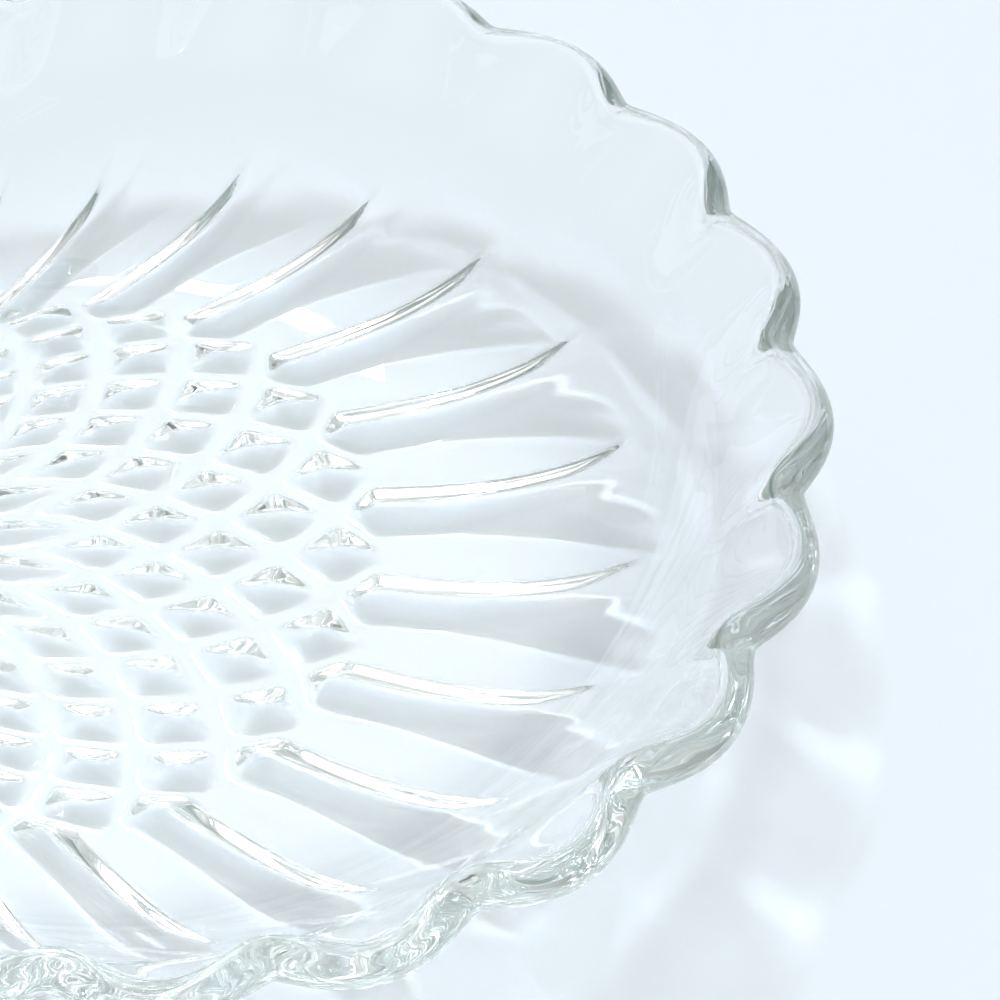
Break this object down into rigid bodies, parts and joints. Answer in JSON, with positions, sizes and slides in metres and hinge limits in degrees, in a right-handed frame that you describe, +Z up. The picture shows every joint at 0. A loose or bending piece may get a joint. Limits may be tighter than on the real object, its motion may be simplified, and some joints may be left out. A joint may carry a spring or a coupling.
{
  "type": "scallop shell dish",
  "caption": "Clear pressed-glass serving dish in the form of a scallop shell, with a scalloped rim, petal flutes and a lattice pressed into the underside.",
  "frame": {"origin": "on the table, below the middle of the dish's outline", "axes": "+X from the hinge to the front of the fan, +Y across the fan, +Z up from the table"},
  "size_m": [0.1978, 0.2046, 0.0443],
  "materials": {
    "pressed_glass": "clear soda-lime glass, fire-polished"
  },
  "bodies": {
    "root": {"lattice_floor": "pressed_glass", "petal_wall": "pressed_glass", "upper_wall": "pressed_glass", "scalloped_rim": "pressed_glass", "hinge_wall": "pressed_glass"}
  },
  "joints": []
}
